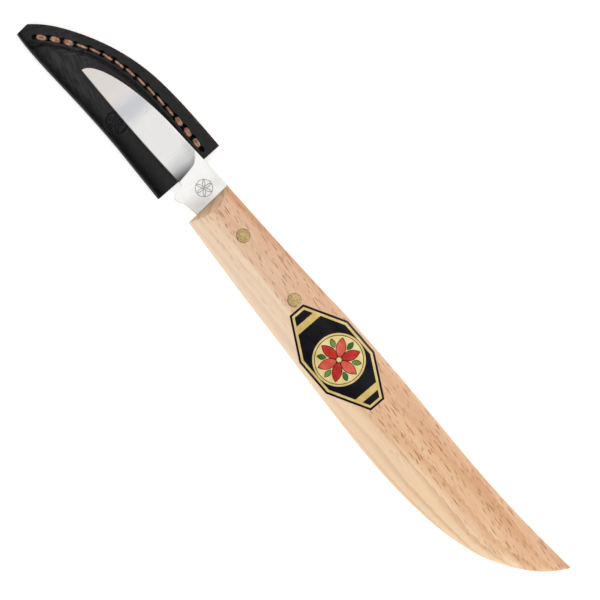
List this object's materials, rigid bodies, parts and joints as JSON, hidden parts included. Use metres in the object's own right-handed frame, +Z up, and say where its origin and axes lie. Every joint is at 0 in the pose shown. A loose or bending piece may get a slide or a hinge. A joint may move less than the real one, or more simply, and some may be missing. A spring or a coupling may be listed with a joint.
{
  "type": "chip carving knife",
  "caption": "Short drop-point carving blade pinned in a lens-shaped beech handle with an eight-sided label, lying on its folded and sewn leather sheath.",
  "frame": {"origin": "bottom centre of the knife and sheath as they lie on a table", "axes": "+X toward the butt of the handle, +Y toward the back of the blade, +Z up, square to the side of the knife"},
  "size_m": [0.2152, 0.0318, 0.0146],
  "materials": {
    "steel": "fine brushed, satin flat and polished bevel",
    "beech": "smooth oiled steamed beech with dark flecks",
    "brass": "dull, sanded flush",
    "label": "varnished print, black with a gold border and a red and green rosette",
    "leather": "black dyed grain leather with brown cut edges",
    "thread": "waxed tan sewing thread"
  },
  "bodies": {
    "knife": {"blade": "steel", "handle": "beech", "pin_front": "brass", "pin_rear": "brass", "label": "label"},
    "sheath": {"sheath_leather": "leather", "needle_thread": "thread", "bobbin_thread": "thread"}
  },
  "joints": [
    {"name": "sheath_slide", "type": "slide", "parent": "knife", "child": "sheath", "axis": [-1, 0, 0], "range_m": [0, 0.06]}
  ]
}
